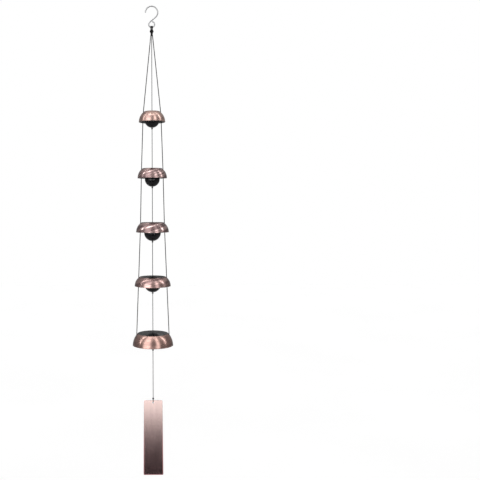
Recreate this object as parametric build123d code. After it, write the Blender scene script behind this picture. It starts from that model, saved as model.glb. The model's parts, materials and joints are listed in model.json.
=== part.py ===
from build123d import *
import os
from math import cos, hypot, radians, sin, sqrt
from typing import NamedTuple

# A hanging wind chime: an S-shaped wire hook, a knotted loop of cord, and five open ring bells
# strung one below another on two side cords. A third cord down the middle carries one ball in
# each bell and a flat wind sail at its foot.
#
# Millimetres. +Z is up. The origin is where the chime hangs: the inner top of the hook's bend.
# X runs through the bells' two cord holes, and the hook and the sail lie flat in the XZ plane.

# --- hook ---
WIRE_DIAMETER = 2.0
BEND_RADIUS = 10.4          # the open upper bend, at the wire's centre
EYE_RADIUS = 4.95           # the lower eye, at the wire's centre
BEND_TO_EYE = 20.2          # from the bend's centre down to the eye's
EYE_END_ANGLE = 80.0        # where the wire's end stops on the eye, in degrees from +X

# --- cords and knots ---
SIDE_CORD_DIAMETER = 1.4
CLAPPER_CORD_DIAMETER = 1.1
LOOP_CORD_DIAMETER = 1.3
LOOP_STRANDS = 3
LOOP_STRAND_PITCH = 1.45
LOOP_CLEARANCE = 0.45       # between the loop's strands and the eye's wire
LOOP_LENGTH = 4.6           # between the centres of the loop's two rounded ends
TOP_KNOT_RADIUS = 3.5
TOP_KNOT_Z = -41.3
TOP_KNOT_TAIL_RADIUS = 2.2
TOP_KNOT_TAIL_Z = -47.3     # the cords below turn about this point
SIDE_CORD_START_X = 1.4     # half the spacing of the side cords where they leave the top knot
BELL_KNOT_RADIUS = 1.6
BALL_KNOT_RADIUS = 1.4
SAIL_KNOT_RADIUS = 1.5
RUNNING_GAP = 0.3           # left between pieces that turn against each other
KNOT_TO_BELL_GAP = 0.4      # left between a knot and the inside of the bell that it carries

# --- bells and balls ---
WALL = 1.0
SKIRT_LEAN = 8.0            # degrees that the skirt leans inwards
SKIRT_SHARE = 0.18          # straight skirt, as a share of the bell's height
CORD_HOLE_DIAMETER = 2.4
BALL_BORE_DIAMETER = 1.4


class Bell(NamedTuple):
    """One ring bell and its ball: radii, height, levels and its knots' distance from the axis."""
    mouth_radius: float
    opening_radius: float
    height: float
    mouth_z: float
    knot_x: float
    ball_diameter: float
    ball_z: float


BELLS = (
    Bell(22.6, 13.1, 17.9, -194.3, 15.2, 25.4, -191.1),
    Bell(25.2, 16.2, 16.8, -289.4, 18.4, 25.4, -291.3),
    Bell(28.1, 18.4, 17.0, -381.5, 20.4, 28.6, -382.3),
    Bell(30.9, 22.0, 15.8, -473.4, 24.0, 28.6, -470.0),
    Bell(34.7, 26.0, 20.2, -574.9, 27.9, 28.6, -568.0),
)

# --- wind sail ---
SAIL_TOP_WIDTH = 32.0
SAIL_FOOT_WIDTH = 34.2
SAIL_LENGTH = 129.6
SAIL_THICKNESS = 1.0
SAIL_CORNER = 2.0
SAIL_TOP_Z = -670.4
SAIL_HOLE_DIAMETER = 3.0
SAIL_HOLE_INSET = 4.0
SAIL_KNOT_HEIGHT = 6.9      # the sail's knot above the sail's hole
SAIL_LOOP_RADIUS = 1.4

WIRE_RADIUS = WIRE_DIAMETER / 2
BEND_CENTRE_Z = WIRE_RADIUS - BEND_RADIUS
EYE_CENTRE_Z = BEND_CENTRE_Z - BEND_TO_EYE
EYE_WIRE_Z = EYE_CENTRE_Z - EYE_RADIUS
SAIL_HOLE_Z = SAIL_TOP_Z - SAIL_HOLE_INSET
SAIL_KNOT_Z = SAIL_HOLE_Z + SAIL_KNOT_HEIGHT


def rod(start, end, diameter):
    """A straight round rod from one point to another."""
    start = Vector(*start)
    run = Vector(*end) - start
    return Solid.make_cylinder(diameter / 2, run.length, Plane(origin=start, z_dir=run))


def bead(centre, radius):
    """A plain ball about a point."""
    return Pos(*centre) * Sphere(radius)


def tube(path, diameter):
    """A round tube along a path."""
    return sweep(Plane(origin=path @ 0, z_dir=path % 0) * Circle(diameter / 2), path=path)


def on_circle(centre_z, radius, angle):
    """A point of a circle in the XZ plane, centred on the axis, at an angle from +X."""
    return Vector(radius * cos(radians(angle)), 0, centre_z + radius * sin(radians(angle)))


# --- hook: the bend, a straight run tangent to both circles, and the eye ---

def s_hook():
    """The wire hook, with its open bend at the top and its closed eye below."""
    lean = (BEND_RADIUS + EYE_RADIUS) / BEND_TO_EYE
    drop = sqrt(1 - lean * lean)
    leave_bend = Vector(BEND_RADIUS * drop, 0, BEND_CENTRE_Z - BEND_RADIUS * lean)
    reach_eye = Vector(-EYE_RADIUS * drop, 0, EYE_CENTRE_Z + EYE_RADIUS * lean)
    tip = on_circle(BEND_CENTRE_Z, BEND_RADIUS, 180)
    top = on_circle(BEND_CENTRE_Z, BEND_RADIUS, 90)
    eye_bottom = on_circle(EYE_CENTRE_Z, EYE_RADIUS, 270)
    eye_end = on_circle(EYE_CENTRE_Z, EYE_RADIUS, EYE_END_ANGLE)
    path = Wire([
        ThreePointArc(tip, top, leave_bend),
        Line(leave_bend, reach_eye),
        ThreePointArc(reach_eye, eye_bottom, eye_end),
    ])
    return tube(path, WIRE_DIAMETER)


# --- hanger: the strands round the eye's wire, and the knot below them ---

def top_knot():
    """The large knot under the hook, narrowing to the whipping that the cords leave."""
    knot = bead((0, 0, TOP_KNOT_Z), TOP_KNOT_RADIUS)
    tail = bead((0, 0, TOP_KNOT_TAIL_Z), TOP_KNOT_TAIL_RADIUS)
    whipping = rod((0, 0, TOP_KNOT_Z), (0, 0, TOP_KNOT_TAIL_Z), 2 * TOP_KNOT_TAIL_RADIUS)
    return knot + tail + whipping


def hanger_loop():
    """Strands of cord side by side that pass over the eye's wire and down into the knot."""
    radius = WIRE_RADIUS + LOOP_CLEARANCE + LOOP_CORD_DIAMETER / 2
    strands = []
    for index in range(LOOP_STRANDS):
        x = (index - (LOOP_STRANDS - 1) / 2) * LOOP_STRAND_PITCH
        wire_z = EYE_CENTRE_Z - sqrt(EYE_RADIUS ** 2 - x * x)
        foot_z = wire_z - LOOP_LENGTH
        path = Wire([
            Line((x, -radius, foot_z), (x, -radius, wire_z)),
            ThreePointArc((x, -radius, wire_z), (x, 0, wire_z + radius), (x, radius, wire_z)),
            Line((x, radius, wire_z), (x, radius, foot_z)),
            ThreePointArc((x, radius, foot_z), (x, 0, foot_z - radius), (x, -radius, foot_z)),
        ])
        strands.append((tube(path, LOOP_CORD_DIAMETER) - top_knot()).solids().sort_by(Axis.Z)[-1])
    return strands


# --- bells: a straight leaning skirt and one tangent arc over the shoulder to the rim ---

class Profile(NamedTuple):
    """The outer outline of a bell, as (distance from the axis, height above the mouth)."""
    skirt_top: tuple
    rim: tuple
    centre: tuple
    radius: float


def profile(bell):
    """Work out the arc that leaves the skirt's top along the skirt and ends at the rim."""
    lean = radians(SKIRT_LEAN)
    skirt_height = SKIRT_SHARE * bell.height
    skirt_top = (bell.mouth_radius - skirt_height * sin(lean) / cos(lean), skirt_height)
    rim = (bell.opening_radius, bell.height)
    across = (rim[0] - skirt_top[0], rim[1] - skirt_top[1])
    inwards = (-cos(lean), -sin(lean))
    radius = hypot(*across) ** 2 / (2 * (across[0] * inwards[0] + across[1] * inwards[1]))
    centre = (skirt_top[0] + radius * inwards[0], skirt_top[1] + radius * inwards[1])
    return Profile(skirt_top, rim, centre, radius)


def shoulder_arc(shape, radius):
    """The shoulder's arc at a radius about its centre, drawn from the skirt up to the rim."""
    ends = []
    for point in (shape.skirt_top, shape.rim):
        away = Vector(point[0] - shape.centre[0], point[1] - shape.centre[1])
        ends.append(away.normalized())
    middle = (ends[0] + ends[1]).normalized()
    centre = Vector(*shape.centre)
    points = [centre + direction * radius for direction in (ends[0], middle, ends[1])]
    return [Vector(point.X, 0, point.Y) for point in points]


def bell_shell(bell):
    """The bell's turned shell, with its wide mouth down at its own level."""
    shape = profile(bell)
    slope = sin(radians(SKIRT_LEAN)) / cos(radians(SKIRT_LEAN))
    outer = shoulder_arc(shape, shape.radius)
    inner = shoulder_arc(shape, shape.radius - WALL)
    outer_foot = Vector(bell.mouth_radius, 0, 0)
    inner_foot = Vector(inner[0].X + inner[0].Z * slope, 0, 0)
    section = Face(Wire([
        Line(outer_foot, outer[0]),
        ThreePointArc(*outer),
        Line(outer[2], inner[2]),
        ThreePointArc(*reversed(inner)),
        Line(inner[0], inner_foot),
        Line(inner_foot, outer_foot),
    ]))
    return Pos(0, 0, bell.mouth_z) * revolve(section, Axis.Z, 360)


def knot_point(bell, side):
    """The centre of the knot that carries the bell on one side, just under the shoulder."""
    shape = profile(bell)
    reach = shape.radius - WALL - KNOT_TO_BELL_GAP - BELL_KNOT_RADIUS
    height = shape.centre[1] + sqrt(reach ** 2 - (bell.knot_x - shape.centre[0]) ** 2)
    return Vector(side * bell.knot_x, 0, bell.mouth_z + height)


def cord_start(index, side):
    """Where the side cord of a stage starts: at the top knot, or at the knot of the bell above."""
    if index == 0:
        return Vector(side * SIDE_CORD_START_X, 0, TOP_KNOT_TAIL_Z)
    return knot_point(BELLS[index - 1], side)


def hole_point(index, side):
    """Where the side cord of a stage crosses the middle of its bell's wall."""
    bell = BELLS[index]
    shape = profile(bell)
    knot = knot_point(bell, side)
    up = (cord_start(index, side) - knot).normalized()
    from_centre = knot - Vector(side * shape.centre[0], 0, bell.mouth_z + shape.centre[1])
    along = from_centre.dot(up)
    reach = shape.radius - WALL / 2
    return knot + up * (sqrt(along ** 2 - from_centre.length ** 2 + reach ** 2) - along)


def ring_bell(index):
    """A bell with the two holes that its side cords pass through, drilled along the cords."""
    shell = bell_shell(BELLS[index])
    for side in (-1, 1):
        hole = hole_point(index, side)
        reach = (cord_start(index, side) - hole).normalized() * 3 * WALL
        shell -= rod(hole - reach, hole + reach, CORD_HOLE_DIAMETER)
    return shell


def side_cord(index, side):
    """A taut cord from the knot above, clear of it, through the bell's hole to its own knot."""
    start = cord_start(index, side)
    knot = knot_point(BELLS[index], side)
    cord = rod(start, knot, SIDE_CORD_DIAMETER) - bead(knot, BELL_KNOT_RADIUS)
    if index == 0:
        return cord - bead((0, 0, TOP_KNOT_TAIL_Z), TOP_KNOT_TAIL_RADIUS + RUNNING_GAP)
    return cord - bead(start, BELL_KNOT_RADIUS + RUNNING_GAP)


def bell_knots(index):
    """The two knots inside a bell that the bell hangs on."""
    return [bead(knot_point(BELLS[index], side), BELL_KNOT_RADIUS) for side in (-1, 1)]


# --- clapper line: a cord through every ball, with a knot under each ---

def ball_top(index):
    """The level of a ball's top, where the clapper line folds."""
    return BELLS[index].ball_z + BELLS[index].ball_diameter / 2


def ball_knot_z(index):
    """The level of the centre of the knot under a ball."""
    return BELLS[index].ball_z - BELLS[index].ball_diameter / 2 - BALL_KNOT_RADIUS


def clapper_ball(index):
    """A ball with a bore down its middle for the cord."""
    bell = BELLS[index]
    centre = Vector(0, 0, bell.ball_z)
    reach = Vector(0, 0, bell.ball_diameter)
    bore = rod(centre - reach, centre + reach, BALL_BORE_DIAMETER)
    return bead(centre, bell.ball_diameter / 2) - bore


def clapper_cord(index):
    """The clapper cord of a stage: from the ball above, through its bore, to the next ball."""
    if index == 0:
        top = TOP_KNOT_TAIL_Z - TOP_KNOT_TAIL_RADIUS - RUNNING_GAP
    else:
        top = ball_top(index - 1) - RUNNING_GAP / 2
    last = index == len(BELLS) - 1
    foot = ball_knot_z(index) if last else ball_top(index) + RUNNING_GAP / 2
    return rod((0, 0, foot), (0, 0, top), CLAPPER_CORD_DIAMETER)


def ball_knot(index):
    """The knot under a ball, bored for the cord that runs on below it."""
    centre = (0, 0, ball_knot_z(index))
    bore = clapper_cord(min(index + 1, len(BELLS) - 1))
    return bead(centre, BALL_KNOT_RADIUS) - bore - clapper_ball(index)


# --- wind sail and what it hangs on ---

def sail_cord():
    """The cord from the last ball's knot down to the sail's knot."""
    last_knot = (0, 0, ball_knot_z(len(BELLS) - 1))
    foot = (0, 0, SAIL_KNOT_Z + SAIL_KNOT_RADIUS + RUNNING_GAP)
    return rod(foot, last_knot, CLAPPER_CORD_DIAMETER) - bead(last_knot, BALL_KNOT_RADIUS + RUNNING_GAP)


def sail_loop():
    """The small loop from the sail's knot through the hole in the sail."""
    arc_z = SAIL_HOLE_Z + SAIL_LOOP_RADIUS
    side = SAIL_LOOP_RADIUS
    path = Wire([
        Line((0, -side, SAIL_KNOT_Z), (0, -side, arc_z)),
        ThreePointArc((0, -side, arc_z), (0, 0, SAIL_HOLE_Z), (0, side, arc_z)),
        Line((0, side, arc_z), (0, side, SAIL_KNOT_Z)),
    ])
    loop = tube(path, CLAPPER_CORD_DIAMETER) - bead((0, 0, SAIL_KNOT_Z), SAIL_KNOT_RADIUS)
    return loop.solids().sort_by(SortBy.VOLUME)[-1]


def wind_sail():
    """The flat sail, a little wider at its foot, with rounded corners and a hole near its top."""
    top, foot = SAIL_TOP_WIDTH / 2, SAIL_FOOT_WIDTH / 2
    foot_z = SAIL_TOP_Z - SAIL_LENGTH
    corners = [(-top, 0, SAIL_TOP_Z), (top, 0, SAIL_TOP_Z), (foot, 0, foot_z), (-foot, 0, foot_z)]
    outline = Face(Wire(Polyline(*corners, close=True).edges()))
    blank = extrude(outline, SAIL_THICKNESS / 2, dir=(0, 1, 0), both=True)
    blank = fillet(blank.edges().filter_by(Axis.Y), SAIL_CORNER)
    through = Vector(0, SAIL_THICKNESS, 0)
    hole = Vector(0, 0, SAIL_HOLE_Z)
    return blank - rod(hole - through, hole + through, SAIL_HOLE_DIAMETER)


def check_rod(name, solid, length, diameter):
    """Print a straight cord's length, and its volume against its section times its length."""
    section = Circle(diameter / 2).area
    print(f"{name}: straight, {length:.1f} mm, volume {solid.volume / (section * length):.3f} of nominal")


def write(name, shape):
    """Write one sub-part, which may be several separate solids, as a STEP file."""
    solids = shape if isinstance(shape, list) else [shape]
    solids = [solid.solid() for solid in solids]
    whole = Compound(children=solids) if len(solids) > 1 else solids[0]
    export_step(whole, f"parts/{name}.step")


os.makedirs("parts", exist_ok=True)

write("s_hook", s_hook())
write("hanger_loop", hanger_loop())
write("top_knot", top_knot())
for stage in range(len(BELLS)):
    number = stage + 1
    for side_name, side_sign in (("left", -1), ("right", 1)):
        cord_solid = side_cord(stage, side_sign)
        write(f"{side_name}_cord_{number}", cord_solid)
        cord_run = (cord_start(stage, side_sign) - knot_point(BELLS[stage], side_sign)).length
        check_rod(f"{side_name}_cord_{number}", cord_solid, cord_run, SIDE_CORD_DIAMETER)
    write(f"bell_{number}", ring_bell(stage))
    write(f"bell_knots_{number}", bell_knots(stage))
    clapper_solid = clapper_cord(stage)
    write(f"clapper_cord_{number}", clapper_solid)
    clapper_run = clapper_solid.bounding_box().size.Z
    check_rod(f"clapper_cord_{number}", clapper_solid, clapper_run, CLAPPER_CORD_DIAMETER)
    write(f"ball_{number}", clapper_ball(stage))
    write(f"ball_knot_{number}", ball_knot(stage))
sail_cord_solid = sail_cord()
write("sail_cord", sail_cord_solid)
sail_cord_run = sail_cord_solid.bounding_box().size.Z
check_rod("sail_cord", sail_cord_solid, sail_cord_run, CLAPPER_CORD_DIAMETER)
write("sail_knot", bead((0, 0, SAIL_KNOT_Z), SAIL_KNOT_RADIUS))
write("sail_loop", sail_loop())
write("wind_sail", wind_sail())
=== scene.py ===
"""Looks of a hanging wind chime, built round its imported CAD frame.

Five open copper bells hang one below another on two black cords from a wire S-hook. A third cord
carries a glossy black ball in each bell and a flat copper sail at its foot. Every length is in
metres, in the frame's own axes: +Z up, X through the bells' cord holes, and the origin at the
inner top of the hook, where the chime hangs.
"""
from __future__ import annotations

import json
import logging
import math
from dataclasses import dataclass
from enum import Enum

import bmesh
import bpy
from mathutils import Matrix, Vector


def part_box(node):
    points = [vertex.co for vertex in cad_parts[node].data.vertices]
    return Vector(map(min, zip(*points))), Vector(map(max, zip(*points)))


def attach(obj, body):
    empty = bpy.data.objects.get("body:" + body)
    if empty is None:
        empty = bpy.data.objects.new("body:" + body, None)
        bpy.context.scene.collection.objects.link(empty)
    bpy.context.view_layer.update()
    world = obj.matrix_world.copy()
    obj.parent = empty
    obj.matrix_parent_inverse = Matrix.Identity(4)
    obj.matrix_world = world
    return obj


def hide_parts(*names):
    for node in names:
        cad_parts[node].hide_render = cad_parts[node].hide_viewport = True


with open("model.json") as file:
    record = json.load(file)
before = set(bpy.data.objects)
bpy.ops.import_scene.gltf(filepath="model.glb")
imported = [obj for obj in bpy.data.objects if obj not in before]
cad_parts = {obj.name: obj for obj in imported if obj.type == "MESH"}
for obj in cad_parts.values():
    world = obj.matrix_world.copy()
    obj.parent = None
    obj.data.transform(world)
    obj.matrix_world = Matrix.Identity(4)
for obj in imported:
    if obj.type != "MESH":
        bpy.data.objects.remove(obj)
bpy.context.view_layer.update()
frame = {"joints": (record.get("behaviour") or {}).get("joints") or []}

log = logging.getLogger("wind_chime")

MM = 0.001
STAGES = 5
FINE_RELIEF = 0.1 * MM
Z_AXIS = Vector((0.0, 0.0, 1.0))
Y_AXIS = Vector((0.0, 1.0, 0.0))

Colour = tuple[float, float, float]
Outline = list[tuple[float, float]]
Verts = list[bmesh.types.BMVert]
Edges = list[bmesh.types.BMEdge]


class Side(Enum):
    """The two sides of the chime, with the sign of X on each."""

    LEFT = -1
    RIGHT = 1

    @property
    def label(self) -> str:
        """The side's name in small letters."""
        return self.name.lower()


class Slot(Enum):
    """The frame's material slots."""

    WIRE = "steel_wire"
    CORD = "black_cord"
    COPPER = "antique_copper"
    LACQUER = "black_lacquer"
    SAIL = "sail_copper"


class CordEnd(Enum):
    """What holds the far end of a cord's run."""

    KNOT = "knot"
    OBJECT = "object"


# --------------------------------------------------------------------------- node graphs


class Graph:
    """A node tree with short calls that add a node and hand back its output socket."""

    def __init__(self, tree: bpy.types.NodeTree) -> None:
        """Take over an empty tree.

        Args:
            tree: The node tree of a material or of the world.
        """
        self.tree = tree
        tree.nodes.clear()

    def node(self, kind: str, **settings: object) -> bpy.types.Node:
        """Add a node.

        Args:
            kind: The node's type name, without the ShaderNode prefix.
            settings: Attributes to set on it.

        Returns:
            The new node.
        """
        made = self.tree.nodes.new("ShaderNode" + kind)
        for name, value in settings.items():
            setattr(made, name, value)
        return made

    def feed(self, socket: bpy.types.NodeSocket, source: object) -> None:
        """Link a socket to another one, or set its constant.

        Args:
            socket: The input to fill.
            source: An output socket, a number or a tuple.
        """
        if isinstance(source, bpy.types.NodeSocket):
            self.tree.links.new(source, socket)
        else:
            socket.default_value = source

    def math(self, operation: str, *values: object, clamp: bool = False) -> bpy.types.NodeSocket:
        """Add a math node.

        Args:
            operation: Its operation.
            values: Its inputs, sockets or numbers.
            clamp: Whether the result stays between 0 and 1.

        Returns:
            The result's socket.
        """
        made = self.node("Math", operation=operation, use_clamp=clamp)
        for socket, value in zip(made.inputs, values):
            self.feed(socket, value)
        return made.outputs[0]

    def remap(self, value: object, low: float, high: float, to_low: float = 0.0,
              to_high: float = 1.0) -> bpy.types.NodeSocket:
        """Map a range smoothly onto another.

        Args:
            value: The socket to read.
            low: Start of the range read.
            high: End of the range read.
            to_low: Result at the start.
            to_high: Result at the end.

        Returns:
            The result's socket.
        """
        made = self.node("MapRange", interpolation_type="SMOOTHSTEP")
        for name, item in (("Value", value), ("From Min", low), ("From Max", high),
                           ("To Min", to_low), ("To Max", to_high)):
            self.feed(made.inputs[name], item)
        return made.outputs["Result"]

    def combine(self, x: object, y: object, z: object) -> bpy.types.NodeSocket:
        """Join three numbers into a vector.

        Args:
            x: First part, a socket or a number.
            y: Second part.
            z: Third part.

        Returns:
            The vector's socket.
        """
        made = self.node("CombineXYZ")
        for socket, value in zip(made.inputs, (x, y, z)):
            self.feed(socket, value)
        return made.outputs[0]

    def noise(self, vector: object, scale: float, detail: float = 3.0, roughness: float = 0.55,
              distortion: float = 0.0) -> bpy.types.NodeSocket:
        """Add a noise texture.

        Args:
            vector: Where it is read.
            scale: Its scale.
            detail: Its detail.
            roughness: How strong the finer detail is.
            distortion: How much it twists.

        Returns:
            The noise value's socket.
        """
        made = self.node("TexNoise")
        for name, item in (("Vector", vector), ("Scale", scale), ("Detail", detail),
                           ("Roughness", roughness), ("Distortion", distortion)):
            self.feed(made.inputs[name], item)
        return made.outputs["Fac"]

    def mix(self, factor: object, first: object, second: object) -> bpy.types.NodeSocket:
        """Mix two colours.

        Args:
            factor: 0 gives the first and 1 the second.
            first: A colour socket or three numbers.
            second: A colour socket or three numbers.

        Returns:
            The mixed colour's socket.
        """
        made = self.node("Mix", data_type="RGBA")
        self.feed(made.inputs[0], factor)
        for index, colour in ((6, first), (7, second)):
            self.feed(made.inputs[index], (*colour, 1.0) if isinstance(colour, tuple) else colour)
        return made.outputs[2]

    def bump(self, height: object, strength: float, distance: float) -> bpy.types.NodeSocket:
        """Turn a height into a normal.

        Args:
            height: The height's socket.
            strength: How much of it shows.
            distance: The height's scale, in metres.

        Returns:
            The normal's socket.
        """
        made = self.node("Bump")
        for name, item in (("Height", height), ("Strength", strength), ("Distance", distance)):
            self.feed(made.inputs[name], item)
        return made.outputs["Normal"]


@dataclass(frozen=True)
class ObjectPoint:
    """The sockets of a point in the object's own coordinates."""

    vector: bpy.types.NodeSocket
    x: bpy.types.NodeSocket
    y: bpy.types.NodeSocket
    z: bpy.types.NodeSocket


class Finish:
    """A surface finish. Each kind fills in its own graph and shader."""

    name = "finish"

    def material(self) -> bpy.types.Material:
        """Give the finish's material, made once.

        Returns:
            The material.
        """
        found = bpy.data.materials.get(self.name)
        if found:
            return found
        made = bpy.data.materials.new(self.name)
        made.use_nodes = True
        graph = Graph(made.node_tree)
        output = graph.node("OutputMaterial")
        shader = graph.node("BsdfPrincipled")
        graph.feed(output.inputs["Surface"], shader.outputs["BSDF"])
        self.paint(graph, shader)
        return made

    def paint(self, graph: Graph, shader: bpy.types.Node) -> None:
        """Fill in the shader. Each finish has its own.

        Args:
            graph: The material's graph.
            shader: The shader to fill in.
        """
        raise NotImplementedError

    @staticmethod
    def point(graph: Graph) -> ObjectPoint:
        """Read the point's place in the object.

        Args:
            graph: The graph to read it in.

        Returns:
            Its sockets.
        """
        place = graph.node("TexCoord").outputs["Object"]
        parts = graph.node("SeparateXYZ")
        graph.feed(parts.inputs[0], place)
        return ObjectPoint(place, *parts.outputs)


@dataclass(frozen=True)
class TurnedCopper(Finish):
    """Antique copper plate, brushed round the bell, with patina wiped on in slanting streaks."""

    name: str = "turned_copper"
    bright: Colour = (0.80, 0.57, 0.54)
    dark: Colour = (0.27, 0.175, 0.172)
    wipe: float = 1.0
    patina_low: float = 0.42
    patina_high: float = 0.59
    patina_scale: float = 45.0
    grain_pitch: float = 1300.0
    wipe_twist: float = 95.0
    wipe_round: float = 2.3
    wander: float = 0.002
    roughness: float = 0.22
    lacquer: float = 0.5
    wander_scale: float = 38.0
    wipe_pitch: float = 26.0
    blotch_share: float = 0.55
    broad_share: float = 0.45
    scratch_share: float = 0.18
    patina_roughness: float = 0.15
    relief: float = 0.05

    def paint(self, graph: Graph, shader: bpy.types.Node) -> None:
        """Brush marks run round the axis and wander a little; the wiped patina climbs across them.

        Args:
            graph: The material's graph.
            shader: The shader to fill in.
        """
        here = self.point(graph)
        angle = graph.math("ARCTAN2", here.y, here.x)
        square = graph.math("MULTIPLY_ADD", here.x, here.x, graph.math("MULTIPLY", here.y, here.y))
        drift = graph.math("MULTIPLY", graph.noise(here.vector, self.wander_scale, 2.0), self.wander)
        level = graph.math("ADD", graph.math("SUBTRACT", here.z, graph.math("SQRT", square)), drift)
        marks = graph.math("MULTIPLY", level, self.grain_pitch)
        fine = self.round_noise(graph, angle, 2.0, marks, 4.0)
        bands = graph.math("MULTIPLY", level, self.grain_pitch / 9)
        broad = self.round_noise(graph, angle, 1.3, bands, 3.0)
        wound = graph.math("MULTIPLY_ADD", level, -self.wipe_twist, angle)
        climb = graph.math("MULTIPLY", level, self.wipe_pitch)
        wiped = self.round_noise(graph, wound, self.wipe_round, climb, 1.0)
        blotch = graph.noise(here.vector, self.patina_scale, 2.0, 0.5, 0.6)
        banded = graph.math("MULTIPLY", broad, self.broad_share)
        plain = graph.math("MULTIPLY_ADD", blotch, self.blotch_share, banded)
        mottled = graph.math("MULTIPLY_ADD", graph.math("SUBTRACT", wiped, plain), self.wipe, plain)
        patina = graph.remap(mottled, self.patina_low, self.patina_high)
        scratch = graph.math("SUBTRACT", fine, 0.5)
        streaked = graph.math("MULTIPLY_ADD", scratch, self.scratch_share, patina, clamp=True)
        rougher = graph.math("MULTIPLY_ADD", streaked, self.patina_roughness, self.roughness)
        round_it = graph.node("Tangent", direction_type="RADIAL", axis="Z")
        graph.feed(shader.inputs["Base Color"], graph.mix(streaked, self.bright, self.dark))
        graph.feed(shader.inputs["Roughness"], rougher)
        graph.feed(shader.inputs["Normal"], graph.bump(fine, self.relief, FINE_RELIEF))
        graph.feed(shader.inputs["Tangent"], round_it.outputs[0])
        shader.inputs["Metallic"].default_value = 1.0
        shader.inputs["Anisotropic"].default_value = 0.6
        shader.inputs["Anisotropic Rotation"].default_value = 0.25
        shader.inputs["Coat Weight"].default_value = self.lacquer
        shader.inputs["Coat Roughness"].default_value = 0.09

    @staticmethod
    def round_noise(graph: Graph, angle: object, reach: float, level: object,
                    detail: float) -> bpy.types.NodeSocket:
        """Noise on a cylinder, so that it meets itself all round.

        Args:
            graph: The graph to add to.
            angle: Angle round the axis.
            reach: The cylinder's radius in noise cells.
            level: Height in noise cells.
            detail: The noise's detail.

        Returns:
            The noise value's socket.
        """
        x = graph.math("MULTIPLY", graph.math("COSINE", angle), reach)
        y = graph.math("MULTIPLY", graph.math("SINE", angle), reach)
        return graph.noise(graph.combine(x, y, level), 1.0, detail)


@dataclass(frozen=True)
class DarkInside(Finish):
    """The unpolished inside of a bell: dull, dark and a little uneven."""

    name: str = "dark_inside"
    light: Colour = (0.165, 0.167, 0.167)
    dark: Colour = (0.085, 0.086, 0.086)
    ring_pitch: float = 1500.0

    def paint(self, graph: Graph, shader: bpy.types.Node) -> None:
        """Mottling and faint turning marks over a rough metal.

        Args:
            graph: The material's graph.
            shader: The shader to fill in.
        """
        here = self.point(graph)
        blotch = graph.noise(here.vector, 90.0, 6.0, 0.65)
        turning = graph.math("MULTIPLY", here.z, self.ring_pitch)
        rings = graph.noise(graph.combine(0.0, 0.0, turning), 1.0, 2.0)
        both = graph.math("MULTIPLY_ADD", rings, 0.4, graph.math("MULTIPLY", blotch, 0.6))
        tone = graph.mix(graph.remap(both, 0.36, 0.64), self.light, self.dark)
        graph.feed(shader.inputs["Base Color"], tone)
        graph.feed(shader.inputs["Roughness"], graph.remap(both, 0.3, 0.7, 0.48, 0.66))
        graph.feed(shader.inputs["Normal"], graph.bump(both, 0.3, 0.0002))
        shader.inputs["Metallic"].default_value = 0.2


@dataclass(frozen=True)
class SailCopper(Finish):
    """Antique copper brushed lengthwise, its colour painted bright at the top and dark at the foot as a
    painted reflection of the studio light.
    """

    top: float
    bottom: float
    name: str = "brushed_sail"
    # bright and dark are the two ends of the painted reflection fade: bright at the top, dark at the foot.
    bright: Colour = (0.90, 0.68, 0.64)
    dark: Colour = (0.43, 0.255, 0.265)
    edge: Colour = (0.46, 0.155, 0.165)
    top_half_width: float = 16.0 * MM
    foot_half_width: float = 17.1 * MM
    grain_pitch: float = 1500.0
    band_pitch: float = 190.0
    grain_run: float = 14.0
    wear: float = 0.8
    wear_reach: float = 2.0 * MM

    def paint(self, graph: Graph, shader: bpy.types.Node) -> None:
        """Lengthwise grain over a painted reflection, a slow fade from bright at the top edge to dark at the
        bottom one.

        Args:
            graph: The material's graph.
            shader: The shader to fill in.
        """
        here = self.point(graph)
        across = graph.math("MULTIPLY", here.x, self.grain_pitch)
        along = graph.math("MULTIPLY", here.z, self.grain_run)
        fine = graph.noise(graph.combine(across, 0.0, along), 1.0, 4.0, 0.6)
        bands = graph.math("MULTIPLY", here.x, self.band_pitch)
        broad = graph.noise(graph.combine(bands, 0.0, along), 1.0, 3.0)
        # Painted reflection: the base colour fades from bright at the top to dark at the foot.
        painted_reflection_fade = graph.remap(here.z, self.top, self.bottom)
        uneven = graph.math("MULTIPLY", graph.math("SUBTRACT", broad, 0.5), 0.30)
        grain = graph.math("MULTIPLY", graph.math("SUBTRACT", fine, 0.5), 0.22)
        tone = graph.math("ADD", graph.math("ADD", painted_reflection_fade, uneven), grain, clamp=True)
        spread = (self.foot_half_width - self.top_half_width) / (self.top - self.bottom)
        fallen = graph.math("SUBTRACT", self.top, here.z)
        half = graph.math("MULTIPLY_ADD", fallen, spread, self.top_half_width)
        from_side = graph.math("SUBTRACT", half, graph.math("ABSOLUTE", here.x))
        from_foot = graph.math("SUBTRACT", here.z, self.bottom)
        from_edge = graph.math("MINIMUM", from_side, from_foot)
        rubbed = graph.remap(from_edge, 0.3 * MM, self.wear_reach, self.wear, 0.0)
        worn = graph.math("MULTIPLY", rubbed, graph.remap(painted_reflection_fade, 0.0, 0.7))
        plate = graph.mix(tone, self.bright, self.dark)
        graph.feed(shader.inputs["Base Color"], graph.mix(worn, plate, self.edge))
        graph.feed(shader.inputs["Metallic"], graph.math("SUBTRACT", 1.0, worn))
        graph.feed(shader.inputs["Roughness"], graph.remap(fine, 0.3, 0.7, 0.16, 0.23))
        graph.feed(shader.inputs["Normal"], graph.bump(fine, 0.06, FINE_RELIEF))
        crosswise = graph.node("VectorTransform", vector_type="VECTOR", convert_from="OBJECT",
                               convert_to="WORLD")
        graph.feed(crosswise.inputs[0], graph.combine(1.0, 0.0, 0.0))
        graph.feed(shader.inputs["Tangent"], crosswise.outputs[0])
        shader.inputs["Anisotropic"].default_value = 0.8
        shader.inputs["Coat Weight"].default_value = 0.25
        shader.inputs["Coat Roughness"].default_value = 0.2


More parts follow.
